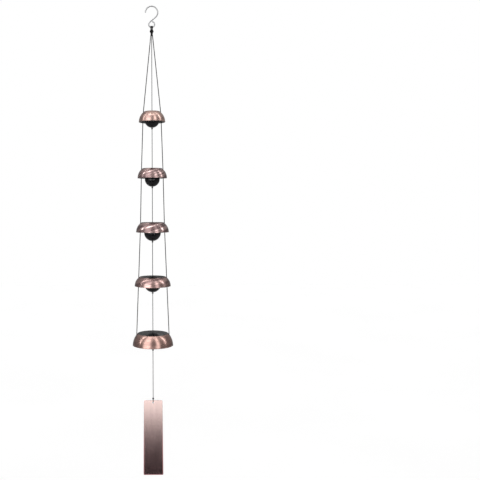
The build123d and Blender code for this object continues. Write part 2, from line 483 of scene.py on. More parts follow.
@dataclass(frozen=True)
class BlackLacquer(Finish):
    """Deep black gloss with the faintest orange peel and handling marks."""

    name: str = "glossy_lacquer"
    black: Colour = (0.004, 0.004, 0.005)
    worn: Colour = (0.008, 0.008, 0.009)

    def paint(self, graph: Graph, shader: bpy.types.Node) -> None:
        """A hard coat over a nearly black body.

        Args:
            graph: The material's graph.
            shader: The shader to fill in.
        """
        here = self.point(graph)
        peel = graph.noise(here.vector, 420.0, 2.0)
        marks = graph.noise(here.vector, 130.0, 5.0, 0.7, 0.6)
        tone = graph.mix(graph.remap(marks, 0.45, 0.75), self.black, self.worn)
        graph.feed(shader.inputs["Base Color"], tone)
        graph.feed(shader.inputs["Roughness"], graph.remap(marks, 0.35, 0.75, 0.07, 0.16))
        graph.feed(shader.inputs["Normal"], graph.bump(peel, 0.04, 0.0002))
        shader.inputs["Specular IOR Level"].default_value = 0.3


@dataclass(frozen=True)
class BlackCord(Finish):
    """Braided black cord: crossing strands, painted lighter on their crests, partly fibre lint and partly a
    painted sheen, and black in the grooves between them as painted shade.
    """

    name: str = "braided_cord"
    black: Colour = (0.004, 0.004, 0.004)
    # colour of the strand crests: partly fibre lint, partly painted sheen
    lint_and_crest_sheen: Colour = (0.016, 0.016, 0.017)
    strands: float = 4.0
    lay: float = 0.0042

    def paint(self, graph: Graph, shader: bpy.types.Node) -> None:
        """Two hands of strand cross over each other round the cord.

        Args:
            graph: The material's graph.
            shader: The shader to fill in.
        """
        here = self.point(graph)
        facing = graph.node("SeparateXYZ")
        graph.feed(facing.inputs[0], graph.node("TexCoord").outputs["Normal"])
        around = graph.math("ARCTAN2", facing.outputs[1], facing.outputs[0])
        turn = graph.math("MULTIPLY", around, self.strands)
        rise = graph.math("MULTIPLY", here.z, math.tau / self.lay * self.strands)
        one_hand = graph.math("SINE", graph.math("ADD", turn, rise))
        other_hand = graph.math("SINE", graph.math("SUBTRACT", turn, rise))
        woven = graph.math("MAXIMUM", one_hand, other_hand)
        fibre = graph.noise(here.vector, 5200.0, 3.0)
        # Painted sheen and shade: lighter, partly lint, on the strand crests and black in the grooves between
        # strands.
        tone = graph.math("MULTIPLY", graph.remap(woven, -0.4, 1.0), graph.remap(fibre, 0.3, 0.75))
        graph.feed(shader.inputs["Base Color"], graph.mix(tone, self.black, self.lint_and_crest_sheen))
        graph.feed(shader.inputs["Roughness"], graph.remap(fibre, 0.3, 0.7, 0.55, 0.75))
        graph.feed(shader.inputs["Normal"], graph.bump(woven, 0.5, 0.00008))
        shader.inputs["Specular IOR Level"].default_value = 0.14


@dataclass(frozen=True)
class DrawnWire(Finish):
    """Bright drawn steel wire with fine die lines and a few dull spots."""

    name: str = "drawn_wire"
    steel: Colour = (0.50, 0.50, 0.51)
    dull: Colour = (0.36, 0.36, 0.37)

    def paint(self, graph: Graph, shader: bpy.types.Node) -> None:
        """Die lines and dull spots on a smooth metal.

        Args:
            graph: The material's graph.
            shader: The shader to fill in.
        """
        here = self.point(graph)
        spots = graph.noise(here.vector, 260.0, 5.0, 0.65)
        lines = graph.noise(graph.combine(graph.math("MULTIPLY", here.x, 300.0),
                                          graph.math("MULTIPLY", here.y, 5200.0),
                                          graph.math("MULTIPLY", here.z, 300.0)), 1.0, 3.0)
        tone = graph.mix(graph.remap(spots, 0.45, 0.72), self.steel, self.dull)
        graph.feed(shader.inputs["Base Color"], tone)
        graph.feed(shader.inputs["Roughness"], graph.remap(spots, 0.35, 0.7, 0.42, 0.54))
        graph.feed(shader.inputs["Normal"], graph.bump(lines, 0.12, FINE_RELIEF))
        shader.inputs["Metallic"].default_value = 1.0


@dataclass(frozen=True)
class PaleFloor(Finish):
    """The studio's plain white floor, evenly lit."""

    name: str = "pale_floor"

    def paint(self, graph: Graph, shader: bpy.types.Node) -> None:
        """Near-white and matt, with a glow that keeps it even.

        Args:
            graph: The material's graph.
            shader: The shader to fill in.
        """
        here = self.point(graph)
        cloudy = graph.remap(graph.noise(here.vector, 1.5, 3.0), 0.3, 0.7)
        graph.feed(shader.inputs["Base Color"], graph.mix(cloudy, (0.30, 0.30, 0.30), (0.32, 0.32, 0.32)))
        shader.inputs["Roughness"].default_value = 0.9
        shader.inputs["Emission Color"].default_value = (1.0, 1.0, 1.0, 1.0)
        shader.inputs["Emission Strength"].default_value = 0.735


# --------------------------------------------------------------------------- mesh helpers


def publish(name: str, bm: bmesh.types.BMesh, sharp_angle: float = 35.0) -> bpy.types.Object:
    """Turn a bmesh into an object at the origin, shaded smooth between its sharp edges.

    Args:
        name: The object's name.
        bm: The shape. It is freed.
        sharp_angle: Edges sharper than this, in degrees, stay sharp.

    Returns:
        The new object.
    """
    mesh = bpy.data.meshes.new(name)
    bm.to_mesh(mesh)
    bm.free()
    made = bpy.data.objects.new(name, mesh)
    bpy.context.scene.collection.objects.link(made)
    mesh.shade_smooth()
    mesh.set_sharp_from_angle(angle=math.radians(sharp_angle))
    return made


def bake_modifiers(piece: bpy.types.Object) -> None:
    """Replace a piece's mesh by what its modifiers make of it, and drop the modifiers.

    Args:
        piece: The object to settle.
    """
    graph = bpy.context.evaluated_depsgraph_get()
    settled = bpy.data.meshes.new_from_object(piece.evaluated_get(graph), depsgraph=graph)
    settled.name = piece.name
    old = piece.data
    piece.modifiers.clear()
    piece.data = settled
    bpy.data.meshes.remove(old)


def drill(piece: bpy.types.Object, start: Vector, end: Vector, diameter: float, sides: int = 32) -> None:
    """Cut a round hole straight through a piece.

    Args:
        piece: What is drilled.
        start: Where the drill goes in, clear of the piece.
        end: Where it comes out.
        diameter: The hole's diameter.
        sides: Facets round the hole.
    """
    run = end - start
    bit = bmesh.new()
    bmesh.ops.create_cone(bit, cap_ends=True, segments=sides, radius1=diameter / 2, radius2=diameter / 2,
                          depth=run.length)
    turn = run.to_track_quat("Z", "Y").to_matrix().to_4x4()
    bmesh.ops.transform(bit, matrix=Matrix.Translation((start + end) / 2) @ turn, verts=bit.verts)
    cutter = publish(piece.name + "_bit", bit)
    cut = piece.modifiers.new("hole", "BOOLEAN")
    cut.operation = "DIFFERENCE"
    cut.solver = "EXACT"
    cut.object = cutter
    bake_modifiers(piece)
    bpy.data.meshes.remove(cutter.data)


def arc(centre: tuple[float, float], radius: float, start: float, end: float, steps: int) -> Outline:
    """Points along an arc.

    Args:
        centre: Its centre.
        radius: Its radius.
        start: First angle, in degrees from the outline's first axis.
        end: Last angle.
        steps: Number of steps.

    Returns:
        The points, both ends included.
    """
    angles = (math.radians(start + (end - start) * step / steps) for step in range(steps + 1))
    return [(centre[0] + radius * math.cos(a), centre[1] + radius * math.sin(a)) for a in angles]


def turned(outline: Outline, level: float, steps: int) -> bmesh.types.BMesh:
    """Spin a closed outline of (radius, height) points a full turn about the Z axis.

    Args:
        outline: The outline, without its first point repeated.
        level: Height of the outline's zero.
        steps: Facets round the axis.

    Returns:
        The closed shape, with its faces outwards.
    """
    bm = bmesh.new()
    verts = [bm.verts.new((radius, 0.0, level + height)) for radius, height in outline]
    edges = [bm.edges.new((verts[i - 1], verts[i])) for i in range(len(verts))]
    bmesh.ops.spin(bm, geom=verts + edges, cent=(0.0, 0.0, 0.0), axis=Z_AXIS, angle=math.tau,
                   steps=steps, use_merge=True)
    bmesh.ops.remove_doubles(bm, verts=bm.verts, dist=1e-7)
    bmesh.ops.recalc_face_normals(bm, faces=bm.faces)
    return bm


def tube_along(points: list[Vector], diameter: float, closed: bool, sides: int = 10) -> bmesh.types.BMesh:
    """A round tube along a smooth curve.

    Args:
        points: The curve's control points.
        diameter: The tube's diameter.
        closed: Whether the curve joins up with its start.
        sides: Half the facets round the tube.

    Returns:
        The tube, with its ends closed and its faces outwards.
    """
    data = bpy.data.curves.new("tube", "CURVE")
    data.dimensions = "3D"
    data.bevel_depth = diameter / 2
    data.bevel_resolution = sides // 2
    data.use_fill_caps = not closed
    spline = data.splines.new("NURBS")
    spline.points.add(len(points) - 1)
    for target, point in zip(spline.points, points):
        target.co = (*point, 1.0)
    spline.use_cyclic_u = closed
    spline.order_u = 4 if len(points) > 3 else 3
    spline.use_endpoint_u = not closed
    spline.resolution_u = 6
    holder = bpy.data.objects.new("tube", data)
    bpy.context.scene.collection.objects.link(holder)
    graph = bpy.context.evaluated_depsgraph_get()
    mesh = bpy.data.meshes.new_from_object(holder.evaluated_get(graph), depsgraph=graph)
    bm = bmesh.new()
    bm.from_mesh(mesh)
    bpy.data.curves.remove(data)
    bpy.data.meshes.remove(mesh)
    bmesh.ops.remove_doubles(bm, verts=bm.verts, dist=1e-7)
    bmesh.ops.recalc_face_normals(bm, faces=bm.faces)
    return bm


def joined(parts: list[bmesh.types.BMesh]) -> bmesh.types.BMesh:
    """Put several shapes into one bmesh.

    Args:
        parts: The shapes. They are freed.

    Returns:
        One bmesh with all of them.
    """
    whole = bmesh.new()
    for part in parts:
        passing = bpy.data.meshes.new("passing")
        part.to_mesh(passing)
        part.free()
        whole.from_mesh(passing)
        bpy.data.meshes.remove(passing)
    return whole


def middle(node: str) -> Vector:
    """The centre of a CAD node's box."""
    low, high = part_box(node)
    return (low + high) / 2


def joint_point(name: str) -> Vector:
    """Where a joint of the frame turns.

    Args:
        name: The joint's name.

    Returns:
        The point, in the frame's axes.
    """
    return next(Vector(joint["pos_m"]) for joint in frame["joints"] if joint["name"] == name)


def fit_out(piece: bpy.types.Object, body: str, nodes: tuple[str, ...], slot: Slot,
            *finishes: Finish) -> None:
    """Dress a piece, hang it on its body and let it stand for its CAD nodes.

    Args:
        piece: The finished mesh object.
        body: The body it rides on.
        nodes: The CAD nodes that it replaces.
        slot: The frame's material slot; not used.
        finishes: Its finishes, in the order of its faces' material indices.
    """
    piece.data.materials.clear()
    for finish in finishes:
        piece.data.materials.append(finish.material())
    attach(piece, body)
    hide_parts(*nodes)
    log.info("%s rides on %s, %d faces", piece.name, body, len(piece.data.polygons))


# --------------------------------------------------------------------------- camera and studio


@dataclass
class Viewpoint:
    """The camera, in front of the chime and level with its upper half."""

    distance: float = 1.0968
    height: float = -0.3384
    pitch: float = -1.45
    roll: float = -0.24
    lens: float = 48.225
    shift_x: float = 0.1824
    shift_y: float = -0.035

    def build(self) -> bpy.types.Object:
        """Make the camera and give it to the scene.

        Returns:
            The camera object.
        """
        data = bpy.data.cameras.new("camera")
        data.lens = self.lens
        data.sensor_width = 36.0
        data.shift_x = self.shift_x
        data.shift_y = self.shift_y
        data.clip_start = 0.01
        camera = bpy.data.objects.new("camera", data)
        camera.location = (0.0, -self.distance, self.height)
        tilt = Matrix.Rotation(math.radians(90.0 + self.pitch), 3, "X")
        lean = Matrix.Rotation(math.radians(self.roll), 3, "Z")
        camera.rotation_euler = (tilt @ lean).to_euler()
        bpy.context.scene.collection.objects.link(camera)
        bpy.context.scene.camera = camera
        return camera


@dataclass(frozen=True)
class Softbox:
    """A soft light far from the chime, as a patch of the studio's walls.

    Angles are in degrees. Azimuth 0 is in front of the chime, towards -Y, and grows towards +X.
    A negative strength stands for a black flag in front of the wall.
    """

    azimuth: float
    elevation: float
    half_width: float
    half_height: float
    edge: float
    strength: float


@dataclass
class Studio:
    """The plain pale floor and the light round the chime."""

    floor_level: float = -1.45
    floor_size: float = 8.0
    below: float = 0.46
    surround: float = 0.27
    ceiling: float = 0.62
    backdrop: float = 1.0
    darkest: float = 0.03
    skirting: tuple[float, float] = (-28.0, -14.0)
    zenith: float = 80.0
    boxes: tuple[Softbox, ...] = (
        Softbox(-35.0, 24.0, 22.0, 40.0, 7.0, 2.3),
        Softbox(30.0, 24.0, 10.0, 38.0, 6.0, 1.9),
        Softbox(0.0, 64.0, 42.0, 3.0, 3.0, 3.2),
        Softbox(-84.0, 42.0, 4.0, 26.0, 3.0, 5.0),
        Softbox(82.0, 42.0, 4.0, 26.0, 3.0, 5.0),
        Softbox(0.0, -9.0, 34.0, 8.9, 2.4, 1.5),
        Softbox(0.0, -32.0, 48.0, 12.6, 3.0, -0.42),
        Softbox(-23.0, -27.5, 2.4, 2.0, 1.6, 14.0),
        Softbox(23.0, -27.5, 2.4, 2.0, 1.6, 14.0),
    )

    def build(self) -> None:
        """Make the world and the floor."""
        self.light()
        self.floor()
        bpy.context.scene.view_settings.view_transform = "Standard"
        bpy.context.scene.view_settings.look = "None"

    def light(self) -> None:
        """Make the world: a plain bright backdrop, and softboxes in a dim room for the light."""
        world = bpy.data.worlds.new("studio")
        bpy.context.scene.world = world
        world.use_nodes = True
        graph = Graph(world.node_tree)
        parts = graph.node("SeparateXYZ")
        graph.feed(parts.inputs[0], graph.node("TexCoord").outputs["Generated"])
        x, y, z = parts.outputs
        azimuth = graph.math("DEGREES", graph.math("ARCTAN2", x, graph.math("MULTIPLY", y, -1.0)))
        elevation = graph.math("DEGREES", graph.math("ARCSINE", z))
        walls = graph.remap(elevation, *self.skirting, self.below, self.surround)
        overhead = graph.remap(elevation, 0.0, self.zenith, 0.0, self.ceiling - self.surround)
        glow = graph.math("ADD", walls, overhead)
        for box in self.boxes:
            aside = graph.math("SUBTRACT", azimuth, box.azimuth)
            across = graph.math("ABSOLUTE", graph.math("WRAP", aside, 180.0, -180.0))
            up = graph.math("ABSOLUTE", graph.math("SUBTRACT", elevation, box.elevation))
            level_edge = box.edge / 2
            in_width = graph.remap(across, box.half_width - box.edge, box.half_width + box.edge, 1.0, 0.0)
            in_height = graph.remap(up, box.half_height - level_edge, box.half_height + level_edge, 1.0, 0.0)
            glow = graph.math("MULTIPLY_ADD", graph.math("MULTIPLY", in_width, in_height), box.strength, glow)
        room = graph.node("Background")
        graph.feed(room.inputs["Strength"], graph.math("MAXIMUM", glow, self.darkest))
        wall = graph.node("Background")
        wall.inputs["Strength"].default_value = self.backdrop
        wall.inputs["Color"].default_value = (1.0, 1.0, 1.0, 1.0)
        choose = graph.node("MixShader")
        graph.feed(choose.inputs[0], graph.node("LightPath").outputs["Is Camera Ray"])
        graph.feed(choose.inputs[1], room.outputs[0])
        graph.feed(choose.inputs[2], wall.outputs[0])
        graph.feed(graph.node("OutputWorld").inputs["Surface"], choose.outputs[0])

    def floor(self) -> None:
        """Make the floor, well below the chime."""
        bm = bmesh.new()
        bmesh.ops.create_grid(bm, x_segments=4, y_segments=4, size=self.floor_size)
        bmesh.ops.translate(bm, vec=(0.0, 0.0, self.floor_level), verts=bm.verts)
        floor = publish("floor", bm)
        floor.data.materials.append(PaleFloor().material())
        floor.visible_glossy = False


# --------------------------------------------------------------------------- cords


@dataclass
class CordRun:
    """One taut run of braided cord, made as a tube with a shallow twist of strands."""

    name: str
    node: str
    body: str
    route: list[Vector]
    diameter: float
    far_end: CordEnd
    ring_sides: int = 16
    ring_pitch: float = 0.00045
    strand_depth: float = 0.09
    twist_pitch: float = 0.0084

    def centreline(self) -> list[Vector]:
        """Read the points of the route's smooth line.

        Returns:
            Points from the route's start to its end.
        """
        data = bpy.data.curves.new(self.name + "_route", "CURVE")
        data.dimensions = "3D"
        spline = data.splines.new("NURBS")
        spline.points.add(len(self.route) - 1)
        for target, point in zip(spline.points, self.route):
            target.co = (*point, 1.0)
        spline.order_u = 3
        spline.use_endpoint_u = True
        holder = bpy.data.objects.new(data.name, data)
        bpy.context.scene.collection.objects.link(holder)
        graph = bpy.context.evaluated_depsgraph_get()
        mesh = bpy.data.meshes.new_from_object(holder.evaluated_get(graph), depsgraph=graph)
        points = [vert.co.copy() for vert in mesh.vertices]
        bpy.data.curves.remove(data)
        bpy.data.meshes.remove(mesh)
        return points

    def build(self) -> bpy.types.Object:
        """Returns:
            The cord's object.
        """
        line = self.centreline()
        start, run = line[0], line[-1] - line[0]
        turn = run.to_track_quat("Z", "Y").to_matrix().to_4x4()
        steps = round(run.length / self.ring_pitch)
        bm = bmesh.new()
        ring = bmesh.ops.create_circle(bm, segments=self.ring_sides, radius=self.diameter / 2)["verts"]
        valleys = [vert for index, vert in enumerate(ring) if index % 2]
        bmesh.ops.scale(bm, vec=(1 - self.strand_depth, 1 - self.strand_depth, 1.0), verts=valleys)
        bmesh.ops.spin(bm, geom=ring + bm.edges[:], cent=(0.0, 0.0, 0.0), axis=Z_AXIS,
                       dvec=(0.0, 0.0, run.length / steps), angle=math.tau * run.length / self.twist_pitch,
                       steps=steps)
        ends = [edge for edge in bm.edges if edge.is_boundary]
        bmesh.ops.holes_fill(bm, edges=ends)
        bmesh.ops.recalc_face_normals(bm, faces=bm.faces)
        bmesh.ops.transform(bm, matrix=Matrix.Translation(start) @ turn, verts=bm.verts)
        cord = publish(self.name, bm, 80.0)
        fit_out(cord, self.body, (self.node,), Slot.CORD, BlackCord())
        return cord


@dataclass
class Cords:
    """The two side cords and the clapper line, each in taut runs between knots."""

    side_diameter: float = 1.4 * MM
    clapper_diameter: float = 1.1 * MM
    start_x: float = 1.4 * MM
    knot_radius: float = 1.6 * MM
    splice: float = 0.6 * MM

    def side_knot(self, stage: int, side: Side) -> Vector:
        """The centre of the knot that ends a side cord's run.

        Args:
            stage: The run's number, from 1, or 0 for the top knot.
            side: Which side cord.

        Returns:
            The knot's centre.
        """
        if stage == 0:
            return Vector((side.value * self.start_x, 0.0, joint_point("stage_1_swing").z))
        low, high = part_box(f"bell_knots_{stage}")
        return Vector((side.value * (high.x - self.knot_radius), 0.0, (low.z + high.z) / 2))

    def clapper_route(self, stage: int) -> list[Vector]:
        """The clapper line's points on one run, down the axis.

        Args:
            stage: The run's number, from 1.

        Returns:
            Its points, from the top.
        """
        low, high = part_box(f"clapper_cord_{stage}")
        top = Vector((0.0, 0.0, high.z))
        foot = Vector((0.0, 0.0, low.z - (self.splice if stage < STAGES else 0.0)))
        return [top, top.lerp(foot, 0.5), foot]

    def build(self) -> None:
        """Make every run."""
        for stage in range(1, STAGES + 1):
            for side in Side:
                top, foot = self.side_knot(stage - 1, side), self.side_knot(stage, side)
                node = f"{side.label}_cord_{stage}"
                CordRun(f"{node}_braid", node, f"stage_{stage}", [top, top.lerp(foot, 0.5), foot],
                        self.side_diameter, CordEnd.KNOT).build()
            node = f"clapper_cord_{stage}"
            CordRun(f"{node}_braid", node, f"clapper_{stage}", self.clapper_route(stage),
                    self.clapper_diameter, CordEnd.OBJECT if stage < STAGES else CordEnd.KNOT).build()
        top, foot = joint_point("sail_cord_swing"), joint_point("sail_twist")
        CordRun("sail_cord_braid", "sail_cord", "sail_line", [top, top.lerp(foot, 0.5), foot],
                self.clapper_diameter, CordEnd.KNOT).build()


# --------------------------------------------------------------------------- knots


@dataclass
class PulledKnot:
    """A pulled-tight overhand knot: cord wound three times through its own two turns."""

    centre: Vector
    width: float
    cord: float
    facing: Vector
    stretch: float = 1.0
    lead: float = 0.0
    points: int = 30

    def build(self) -> bmesh.types.BMesh:
        """Make the knot.

        Returns:
            Its shape, centred where it belongs.
        """
        reach = (self.width - self.cord) / 2
        inner, wave = reach * 0.64, reach * 0.36
        turn = self.facing.to_track_quat("Z", "Y").to_matrix()
        loop = []
        for step in range(self.points):
            t = math.tau * step / self.points
            out = inner + wave * math.cos(3 * t)
            lift = wave * math.sin(3 * t) * self.stretch
            round_by = 2 * t + math.radians(self.lead)
            place = Vector((out * math.cos(round_by), out * math.sin(round_by), lift))
            loop.append(self.centre + turn @ place)
        return tube_along(loop, self.cord, closed=True)


@dataclass
class Hanger:
    """The strands round the hook's eye and the knot and whipping that they run into."""

    strands: int = 3
    strand_pitch: float = 1.45 * MM
    cord: float = 1.3 * MM
    wire: float = 2.0 * MM
    clearance: float = 0.45 * MM
    eye_radius: float = 4.95 * MM
    loop_length: float = 4.6 * MM
    knot_cord: float = 1.9 * MM
    whipping_turns: int = 5
    whipping_cord: float = 1.0 * MM
    whipping_top: float = 1.70 * MM
    whipping_foot: float = 1.30 * MM
    core: float = 2.8 * MM
    knot_stretch: float = 1.35
    points_per_turn: int = 12

    def build(self) -> None:
        """Make the loop, the knot and the whipping."""
        eye = joint_point("loop_swing")
        radius = (self.wire + self.cord) / 2 + self.clearance
        strands = []
        for index in range(self.strands):
            x = (index - (self.strands - 1) / 2) * self.strand_pitch
            wire_z = eye.z - math.sqrt(self.eye_radius ** 2 - x ** 2)
            over = [Vector((x, y, z)) for y, z in arc((0.0, wire_z), radius, 0.0, 180.0, 6)]
            foot = (0.0, wire_z - self.loop_length)
            under = [Vector((x, y, z)) for y, z in arc(foot, radius, 180.0, 360.0, 6)]
            strands.append(tube_along(over + under, self.cord, closed=True))
        loop = publish("hanger_loop_strands", joined(strands))
        fit_out(loop, "hanger", ("hanger_loop",), Slot.CORD, BlackCord())
        knot_low, knot_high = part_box("top_knot")
        knot_width = knot_high.x - knot_low.x
        knot_centre = Vector((0.0, 0.0, knot_high.z - knot_width / 2))
        wraps = [PulledKnot(knot_centre, knot_width, self.knot_cord, -Y_AXIS, self.knot_stretch, lead).build()
                 for lead in (0.0, 180.0)]
        top = knot_centre.z - knot_width * 0.3
        turns = []
        steps = self.points_per_turn * self.whipping_turns
        for step in range(steps + 1):
            share = step / steps
            reach = self.whipping_top + (self.whipping_foot - self.whipping_top) * share
            angle = math.tau * self.whipping_turns * share
            level = top + (knot_low.z + self.whipping_cord / 2 - top) * share
            turns.append(Vector((reach * math.cos(angle), reach * math.sin(angle), level)))
        whipping = tube_along(turns, self.whipping_cord, closed=False)
        core_foot = Vector((0.0, 0.0, knot_low.z + self.whipping_cord * 0.6))
        core = tube_along([knot_centre, knot_centre.lerp(core_foot, 0.5), core_foot], self.core, closed=False)
        whole = publish("top_knot_wraps", joined([*wraps, whipping, core]))
        fit_out(whole, "hanger", ("top_knot",), Slot.CORD, BlackCord())


# --------------------------------------------------------------------------- hook


@dataclass
class WireHook:
    """The S-hook, swept by spinning and extruding one round section along its bends."""

    wire: float = 2.0 * MM
    bend_radius: float = 10.4 * MM
    eye_radius: float = 4.95 * MM
    eye_end_angle: float = 80.0
    sides: int = 24
    tip_round: float = 0.35 * MM
    bend_steps: int = 56
    eye_steps: int = 44

    def build(self) -> bpy.types.Object:
        """Make the hook.

        Returns:
            The hook's object.
        """
        eye = joint_point("loop_swing")
        bend = Vector((0.0, 0.0, self.wire / 2 - self.bend_radius))
        lean = (self.bend_radius + self.eye_radius) / (bend.z - eye.z)
        reach = math.sqrt(1 - lean * lean)
        tangent_angle = math.degrees(math.asin(lean))
        start = bend - Vector((self.bend_radius, 0.0, 0.0))
        leave = bend + Vector((reach, 0.0, -lean)) * self.bend_radius
        arrive = eye + Vector((-reach, 0.0, lean)) * self.eye_radius
        bm = bmesh.new()
        ring = bmesh.ops.create_circle(bm, cap_ends=True, segments=self.sides, radius=self.wire / 2)["verts"]
        bmesh.ops.translate(bm, vec=start, verts=ring)
        edges = [edge for edge in bm.edges if edge.is_boundary]
        ring, edges = self.bend_round(bm, ring, edges, bend, 180.0 + tangent_angle, self.bend_steps)
        ring, edges = self.run_on(bm, edges, arrive - leave)
        sweep_angle = 360.0 - (180.0 - tangent_angle) + self.eye_end_angle
        ring, edges = self.bend_round(bm, ring, edges, eye, -sweep_angle, self.eye_steps)
        bmesh.ops.holes_fill(bm, edges=edges)
        ends = [edge for edge in bm.edges if any(len(face.verts) > 4 for face in edge.link_faces)]
        bmesh.ops.bevel(bm, geom=ends, offset=self.tip_round, offset_type="OFFSET", affect="EDGES",
                        segments=3, profile=0.5, material=-1, clamp_overlap=True)
        bmesh.ops.recalc_face_normals(bm, faces=bm.faces)
        hook = publish("s_hook_wire", bm, 50.0)
        fit_out(hook, "hook", ("s_hook",), Slot.WIRE, DrawnWire())
        return hook

    @staticmethod
    def bend_round(bm: bmesh.types.BMesh, ring: Verts, edges: Edges, centre: Vector, angle: float,
                   steps: int) -> tuple[Verts, Edges]:
        """Spin the wire's open end about a bend's centre.

        Args:
            bm: The wire.
            ring: The open end's vertices.
            edges: The open end's edges.
            centre: The bend's centre.
            angle: How far, in degrees, clockwise as seen from the front where positive.
            steps: Facets along the bend.

        Returns:
            The vertices and edges of the new open end.
        """
        made = bmesh.ops.spin(bm, geom=ring + edges, cent=centre, axis=Y_AXIS,
                              angle=math.radians(angle), steps=steps)["geom_last"]
        return ([item for item in made if isinstance(item, bmesh.types.BMVert)],
                [item for item in made if isinstance(item, bmesh.types.BMEdge)])

    @staticmethod
    def run_on(bm: bmesh.types.BMesh, edges: Edges, run: Vector) -> tuple[Verts, Edges]:
        """Extrude the wire's open end straight on.

        Args:
            bm: The wire.
            edges: The open end's edges.
            run: The straight run.

        Returns:
            The vertices and edges of the new open end.
        """
        made = bmesh.ops.extrude_edge_only(bm, edges=edges)["geom"]
        verts = [item for item in made if isinstance(item, bmesh.types.BMVert)]
        bmesh.ops.translate(bm, vec=run, verts=verts)
        return verts, [item for item in made if isinstance(item, bmesh.types.BMEdge)]


# --------------------------------------------------------------------------- bells and balls


@dataclass
class RingBell:
    """An open bell: a straight leaning skirt and a rounded shoulder up to an open rim."""

    number: int
    opening_radius: float
    finish: TurnedCopper
    wall: float = 1.0 * MM
    skirt_lean: float = 8.0
    skirt_share: float = 0.18
    lip_round: float = 0.28 * MM
    line_height: float = 1.25 * MM
    line_depth: float = 0.14 * MM
    line_width: float = 0.5 * MM
    hole: float = 2.4 * MM
    shoulder_steps: int = 26
    steps: int = 176

    def outline(self, mouth: float, height: float) -> Outline:
        """Draw the wall's section.

        Args:
            mouth: Outer radius at the mouth.
            height: Height of the rim above the mouth.

        Returns:
            A closed outline of (radius, height) points.
        """
        lean = math.radians(self.skirt_lean)
        up = Vector((-math.sin(lean), math.cos(lean)))
        inwards = Vector((-math.cos(lean), -math.sin(lean)))
        foot = Vector((mouth, 0.0))
        skirt_top = foot + up * (self.skirt_share * height / math.cos(lean))
        rim = Vector((self.opening_radius, height))
        radius = (rim - skirt_top).length_squared / (2 * (rim - skirt_top).dot(inwards))
        centre = skirt_top + inwards * radius
        first = self.skirt_lean
        last = math.degrees(math.atan2(rim.y - centre.y, rim.x - centre.x))
        inset = math.degrees(self.lip_round / radius)
        line = foot + up * self.line_height
        groove = [line + up * (self.line_width * share) + inwards * (self.line_depth * depth)
                  for share, depth in ((-0.5, 0.0), (-0.25, 0.8), (0.0, 1.0), (0.25, 0.8), (0.5, 0.0))]
        lip_out = foot + inwards * self.lip_round + up * self.lip_round
        lip_in = foot + inwards * (self.wall - self.lip_round) + up * self.lip_round
        outer = arc(tuple(centre), radius, first, last - inset, self.shoulder_steps)
        middle_line = radius - self.wall / 2
        edge = Vector((centre.x + middle_line * math.cos(math.radians(last - inset)),
                       centre.y + middle_line * math.sin(math.radians(last - inset))))
        crown = arc(tuple(edge), self.wall / 2, last, last + 180.0, 8)[1:-1]
        inner = arc(tuple(centre), radius - self.wall, last - inset, first, self.shoulder_steps)
        lip = (arc(tuple(lip_in), self.lip_round, first - 180.0, first - 90.0, 3)
               + arc(tuple(lip_out), self.lip_round, first - 90.0, first, 3))
        return [*(tuple(point) for point in groove), *outer, *crown, *inner, *lip]

    def build(self) -> bpy.types.Object:
        """Make the bell and drill its two cord holes.

        Returns:
            The bell's object.
        """
        node = f"bell_{self.number}"
        low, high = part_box(node)
        bm = turned(self.outline(high.x, high.z - low.z), low.z, self.steps)
        bell = publish(node + "_ring", bm)
        hole_z = joint_point(f"bell_{self.number}_rock").z
        for side in Side:
            above, below = (Cords().side_knot(stage, side) for stage in (self.number - 1, self.number))
            along = (above - below).normalized()
            share = (hole_z - below.z) / along.z
            through = below + along * share
            clear = along * (3 * self.wall)
            drill(bell, through - clear, through + clear, self.hole)
        bell.data.shade_smooth()
        bell.data.set_sharp_from_angle(angle=math.radians(35.0))
        fit_out(bell, node, (node,), Slot.COPPER, self.finish, DarkInside())
        middle_radius = (high.x + self.opening_radius) / 2
        for face in bell.data.polygons:
            outwards = Vector((face.center.x, face.center.y, middle_radius * 0.35)).normalized()
            face.material_index = 0 if face.normal.dot(outwards) > -0.15 else 1
        return bell


@dataclass
class BellKnots:
    """The pair of pulled knots inside a bell that carry it."""

    number: int
    width: float = 3.6 * MM
    cord: float = 1.4 * MM

    def build(self) -> bpy.types.Object:
        """Make both knots.

        Returns:
            Their object.
        """
        parts = []
        for side in Side:
            centre = Cords().side_knot(self.number, side)
            facing = Vector((0.25 * side.value, -1.0, 0.2)).normalized()
            parts.append(PulledKnot(centre, self.width, self.cord, facing, 1.3).build())
        knots = publish(f"bell_knots_{self.number}_pulled", joined(parts))
        fit_out(knots, f"stage_{self.number}", (f"bell_knots_{self.number}",), Slot.CORD, BlackCord())
        return knots


@dataclass
class Ball:
    """A glossy ball, bored for its cord, and the small knot that it sits on."""

    number: int
    bore: float = 1.4 * MM
    bore_round: float = 0.35 * MM
    steps: int = 112
    knot_width: float = 3.2 * MM
    knot_cord: float = 1.25 * MM

    def build(self) -> bpy.types.Object:
        """Make the ball and its knot.

        Returns:
            The ball's object.
        """
        node = f"ball_{self.number}"
        low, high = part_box(node)
        radius, centre = (high.x - low.x) / 2, (low.z + high.z) / 2
        mouth = self.bore / 2 + self.bore_round
        first = math.degrees(math.acos(mouth / radius))
        outside = arc((0.0, 0.0), radius, first, -first, 56)
        lip_z = radius * math.sin(math.radians(first)) - self.bore_round
        lower = arc((mouth, -lip_z), self.bore_round, 270.0, 180.0, 4)[1:]
        upper = arc((mouth, lip_z), self.bore_round, 180.0, 90.0, 4)[:-1]
        ball = publish(node + "_glossy", turned(outside + lower + upper, centre, self.steps), 50.0)
        body = f"clapper_{min(self.number + 1, STAGES)}"
        fit_out(ball, body, (node,), Slot.LACQUER, BlackLacquer())
        knot_node = f"ball_knot_{self.number}"
        knot = PulledKnot(middle(knot_node), self.knot_width, self.knot_cord, -Y_AXIS, 1.3).build()
        small = publish(knot_node + "_pulled", knot)
        fit_out(small, body, (knot_node,), Slot.CORD, BlackCord())
        return ball


# --------------------------------------------------------------------------- sail


